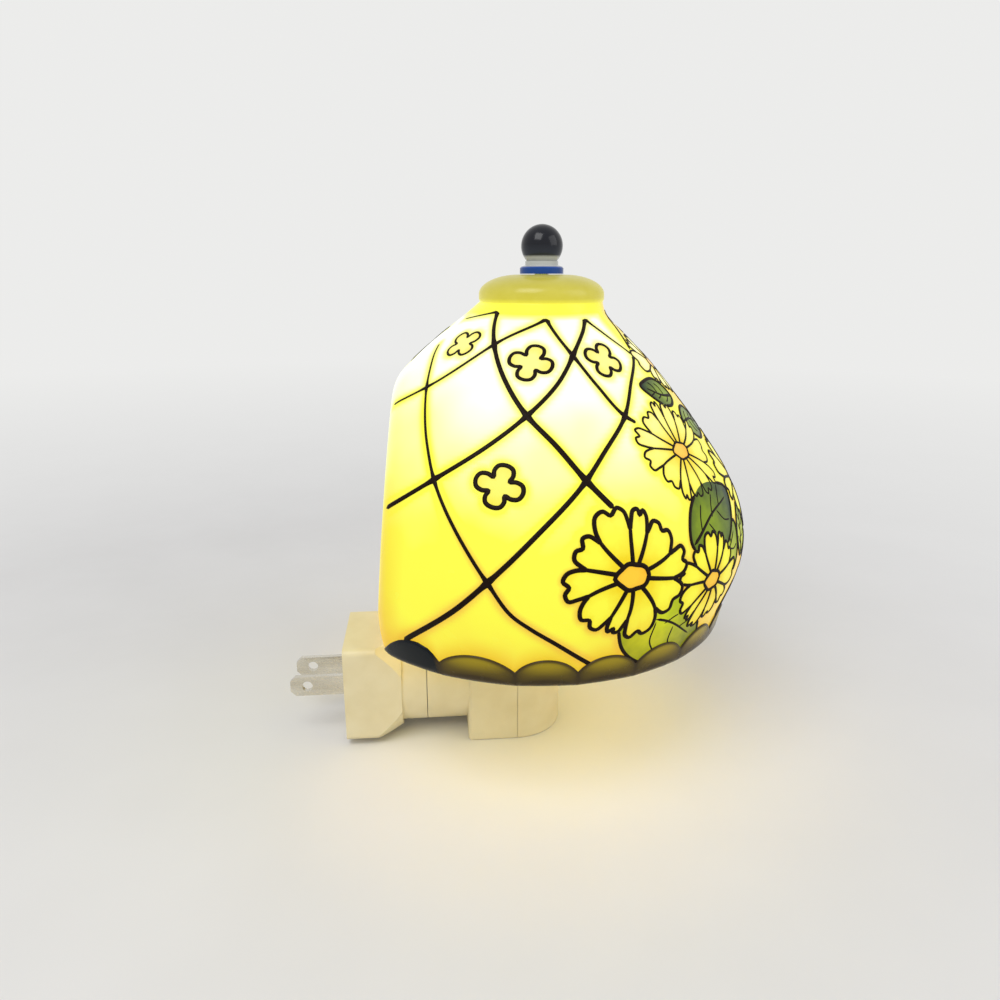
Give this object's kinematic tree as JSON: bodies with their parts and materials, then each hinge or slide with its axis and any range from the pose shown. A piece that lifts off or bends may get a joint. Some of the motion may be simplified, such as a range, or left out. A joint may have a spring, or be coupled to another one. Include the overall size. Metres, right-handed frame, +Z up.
{
  "type": "night light",
  "caption": "Plug-in night light: a square plug with flat blades, a turning neck, a small lampholder block with a rocker switch, and a painted porcelain shade under a ball finial.",
  "frame": {"origin": "centre of the plug's flat face, where it meets the wall outlet, midway between the blades", "axes": "-X goes into the outlet along the blades, +X away from the wall along the swivel axis, +Z up towards the finial, +Y towards the side with the rocker switch"},
  "size_m": [0.1371, 0.1216, 0.1515],
  "materials": {
    "ivory_plastic": "moulded ivory plastic with a satin gloss",
    "plug_cover_plastic": "moulded ivory plastic, matt on the outlet side",
    "blade_metal": "nickel-plated brass",
    "contact_brass": "bare rolled brass",
    "steel_zinc": "zinc-plated steel",
    "fibre_board": "pressed fibre board",
    "bush_nylon": "natural nylon",
    "socket_black": "black phenolic moulding",
    "switch_black": "black plastic with a satin gloss",
    "sleeve_card": "ivory card tube",
    "lead_insulation": "white insulated lead",
    "bulb_glass": "clear glass",
    "bulb_cap_metal": "pressed brass cap",
    "black_glass": "black insulating glass",
    "solder": "soft solder",
    "filament_metal": "glowing tungsten wire",
    "bracket_brass": "lacquered brass-plated steel strip",
    "pad_felt": "pale felt",
    "silicone": "clear silicone",
    "porcelain": "glazed translucent porcelain, hand painted, lit from inside",
    "finial_band": "glazed collar, white neck over a blue band",
    "finial_glaze": "glossy midnight blue glaze"
  },
  "bodies": {
    "plug": {"outlet_cover": "plug_cover_plastic", "plug_body": "ivory_plastic", "plug_screws": "steel_zinc", "blade_line": "blade_metal", "blade_neutral": "blade_metal", "contact_carrier": "fibre_board", "ring_contact": "contact_brass", "pin_contact": "contact_brass", "neck_bush": "bush_nylon"},
    "holder": {"swivel_nipple": "steel_zinc", "wave_washer": "steel_zinc", "swivel_clip": "steel_zinc", "lock_nut": "steel_zinc", "wiper_disc": "fibre_board", "centre_wiper": "contact_brass", "ring_wiper": "contact_brass", "holder_rear": "ivory_plastic", "holder_front": "ivory_plastic", "holder_screws": "steel_zinc", "switch_case": "switch_black", "switch_terminals": "contact_brass", "lamp_socket": "socket_black", "screw_shell": "contact_brass", "centre_contact": "contact_brass", "lock_ring": "socket_black", "candle_sleeve": "sleeve_card", "lead_switch": "lead_insulation", "lead_shell": "lead_insulation", "lead_contact": "lead_insulation", "shade_bracket": "bracket_brass", "bracket_stud": "steel_zinc", "stud_nut": "steel_zinc", "cap_pad": "pad_felt", "back_bumper": "silicone"},
    "rocker": {"switch_rocker": "switch_black", "switch_bridge": "contact_brass"},
    "bulb": {"bulb_contact": "solder", "bulb_insulator": "black_glass", "bulb_cap": "bulb_cap_metal", "bulb_glass": "bulb_glass", "bulb_stem": "bulb_glass", "bulb_filament": "filament_metal"},
    "shade": {"shade": "porcelain"},
    "finial": {"finial_washer": "silicone", "finial_collar": "finial_band", "finial_knob": "finial_glaze", "finial_insert": "contact_brass"}
  },
  "joints": [
    {"name": "neck_swivel", "type": "hinge", "parent": "plug", "child": "holder", "pos_m": [0.0246, 0, 0], "axis": [1, 0, 0], "continuous": true},
    {"name": "switch_rock", "type": "hinge", "parent": "holder", "child": "rocker", "pos_m": [0.045, 0.0134, -0.002], "axis": [1, 0, 0], "range_deg": [-16, 0]},
    {"name": "bulb_turn", "type": "hinge", "parent": "holder", "child": "bulb", "pos_m": [0.052, 0, 0.038], "axis": [0, 0, 1], "continuous": true},
    {"name": "shade_lift", "type": "slide", "parent": "holder", "child": "shade", "axis": [0, 0, 1], "range_m": [0, 0.095]},
    {"name": "finial_turn", "type": "hinge", "parent": "shade", "child": "finial", "pos_m": [0.0597, 0, 0.1215], "axis": [0, 0, 1], "continuous": true}
  ]
}
